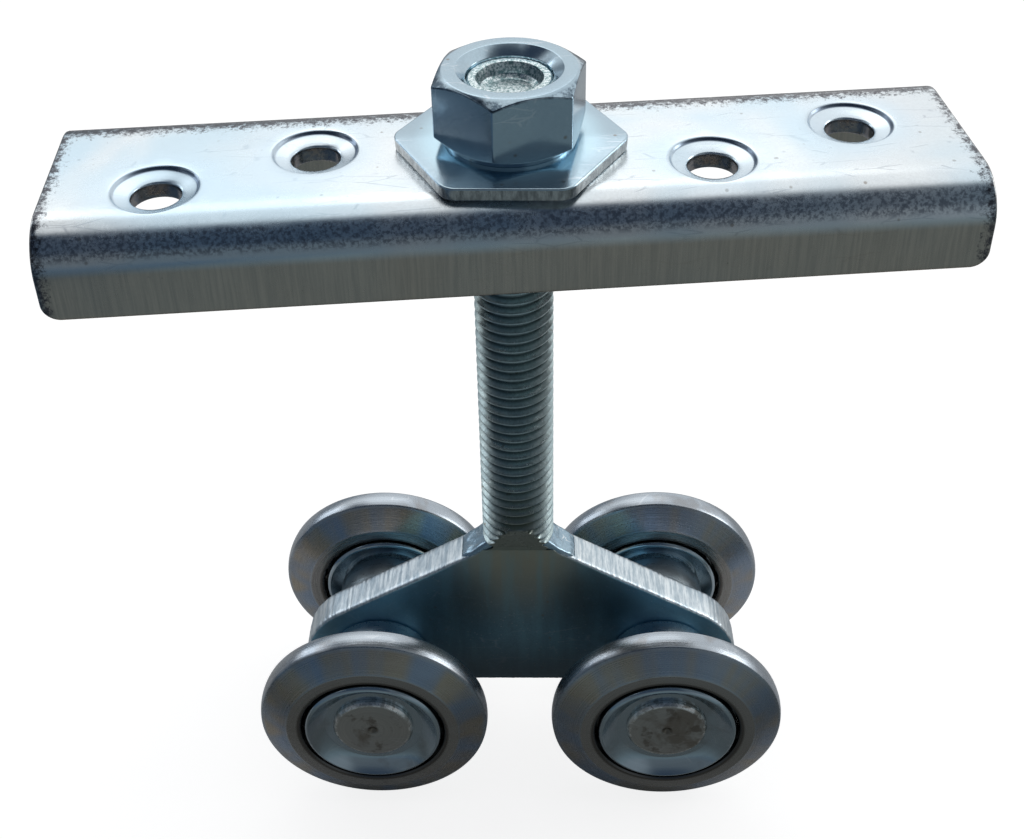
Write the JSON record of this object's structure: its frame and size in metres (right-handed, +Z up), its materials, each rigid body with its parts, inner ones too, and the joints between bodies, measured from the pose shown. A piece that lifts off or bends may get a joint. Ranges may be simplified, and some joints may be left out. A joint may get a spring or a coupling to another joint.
{
  "type": "hanging roller",
  "caption": "Hanging roller for a sliding door: ball-bearing wheels on a carrier plate, a threaded stud and a folded mounting channel set for height by a captive nut.",
  "frame": {"origin": "on the stud's axis, on the plane that the wheels stand on as pictured", "axes": "+X along the mounting channel, +Y across it away from the viewer of the picture, +Z up the stud from the wheels to the channel"},
  "size_m": [0.1262, 0.0466, 0.1322],
  "materials": {
    "zinc_sheet": "bright blue-white zinc on rolled sheet",
    "zinc_flange_nut": "bright zinc, sheared edge left rough",
    "zinc_washer": "bright zinc",
    "zinc_nut": "bright zinc, smooth",
    "zinc_stud": "bright zinc on rolled thread",
    "weld": "zinc over a ground weld",
    "zinc_plate": "bright blue-white zinc on blanked plate, sheared edges",
    "zinc_axle": "zinc on a riveted head",
    "turned_rim": "turned, fine circular tool lines",
    "dished_race": "pressed and smooth, bright zinc",
    "ball_steel": "polished",
    "zinc_bush": "turned, bright zinc"
  },
  "bodies": {
    "carrier": {"carrier_plate": "zinc_plate", "stud": "zinc_stud", "stud_weld": "weld", "axle_left": "zinc_axle", "axle_right": "zinc_axle", "bush_front_left": "zinc_bush", "race_inner_front_left": "dished_race", "race_outer_front_left": "dished_race", "bush_front_right": "zinc_bush", "race_inner_front_right": "dished_race", "race_outer_front_right": "dished_race", "bush_back_left": "zinc_bush", "race_inner_back_left": "dished_race", "race_outer_back_left": "dished_race", "bush_back_right": "zinc_bush", "race_inner_back_right": "dished_race", "race_outer_back_right": "dished_race"},
    "washer": {"retaining_washer": "zinc_washer"},
    "nuts": {"adjusting_nut": "zinc_flange_nut", "lock_nut": "zinc_nut"},
    "bracket": {"bracket": "zinc_sheet"},
    "wheel_front_left": {"wheel_rim_front_left": "turned_rim"},
    "ball_set_front_left": {"balls_front_left": "ball_steel"},
    "wheel_front_right": {"wheel_rim_front_right": "turned_rim"},
    "ball_set_front_right": {"balls_front_right": "ball_steel"},
    "wheel_back_left": {"wheel_rim_back_left": "turned_rim"},
    "ball_set_back_left": {"balls_back_left": "ball_steel"},
    "wheel_back_right": {"wheel_rim_back_right": "turned_rim"},
    "ball_set_back_right": {"balls_back_right": "ball_steel"}
  },
  "joints": [
    {"name": "height_slide", "type": "slide", "parent": "carrier", "child": "washer", "axis": [0, 0, 1], "range_m": [-0.063, 0]},
    {"name": "nut_turn", "type": "hinge", "parent": "washer", "child": "nuts", "pos_m": [0, 0, 0.119], "axis": [0, 0, 1], "range_deg": [-12960, 0]},
    {"name": "bracket_swivel", "type": "hinge", "parent": "washer", "child": "bracket", "pos_m": [0, 0, 0.1184], "axis": [0, 0, 1], "continuous": true},
    {"name": "wheel_spin_front_left", "type": "hinge", "parent": "carrier", "child": "wheel_front_left", "pos_m": [-0.02593, -0.01385, 0.0192], "axis": [0.0889, 0.996, 0], "continuous": true},
    {"name": "ball_orbit_front_left", "type": "hinge", "parent": "carrier", "child": "ball_set_front_left", "pos_m": [-0.02593, -0.01385, 0.0192], "axis": [0.0889, 0.996, 0], "continuous": true},
    {"name": "wheel_spin_front_right", "type": "hinge", "parent": "carrier", "child": "wheel_front_right", "pos_m": [0.02307, -0.01822, 0.0192], "axis": [0.0889, 0.996, 0], "continuous": true},
    {"name": "ball_orbit_front_right", "type": "hinge", "parent": "carrier", "child": "ball_set_front_right", "pos_m": [0.02307, -0.01822, 0.0192], "axis": [0.0889, 0.996, 0], "continuous": true},
    {"name": "wheel_spin_back_left", "type": "hinge", "parent": "carrier", "child": "wheel_back_left", "pos_m": [-0.02307, 0.01822, 0.0192], "axis": [0.0889, 0.996, 0], "continuous": true},
    {"name": "ball_orbit_back_left", "type": "hinge", "parent": "carrier", "child": "ball_set_back_left", "pos_m": [-0.02307, 0.01822, 0.0192], "axis": [0.0889, 0.996, 0], "continuous": true},
    {"name": "wheel_spin_back_right", "type": "hinge", "parent": "carrier", "child": "wheel_back_right", "pos_m": [0.02593, 0.01385, 0.0192], "axis": [0.0889, 0.996, 0], "continuous": true},
    {"name": "ball_orbit_back_right", "type": "hinge", "parent": "carrier", "child": "ball_set_back_right", "pos_m": [0.02593, 0.01385, 0.0192], "axis": [0.0889, 0.996, 0], "continuous": true}
  ],
  "couplings": [
    {"joint": "nut_turn", "follows": "height_slide", "rad_per_m": 3590.4},
    {"joint": "ball_orbit_front_left", "follows": "wheel_spin_front_left", "ratio": 0.6132},
    {"joint": "ball_orbit_front_right", "follows": "wheel_spin_front_right", "ratio": 0.6132},
    {"joint": "ball_orbit_back_left", "follows": "wheel_spin_back_left", "ratio": 0.6132},
    {"joint": "ball_orbit_back_right", "follows": "wheel_spin_back_right", "ratio": 0.6132}
  ]
}
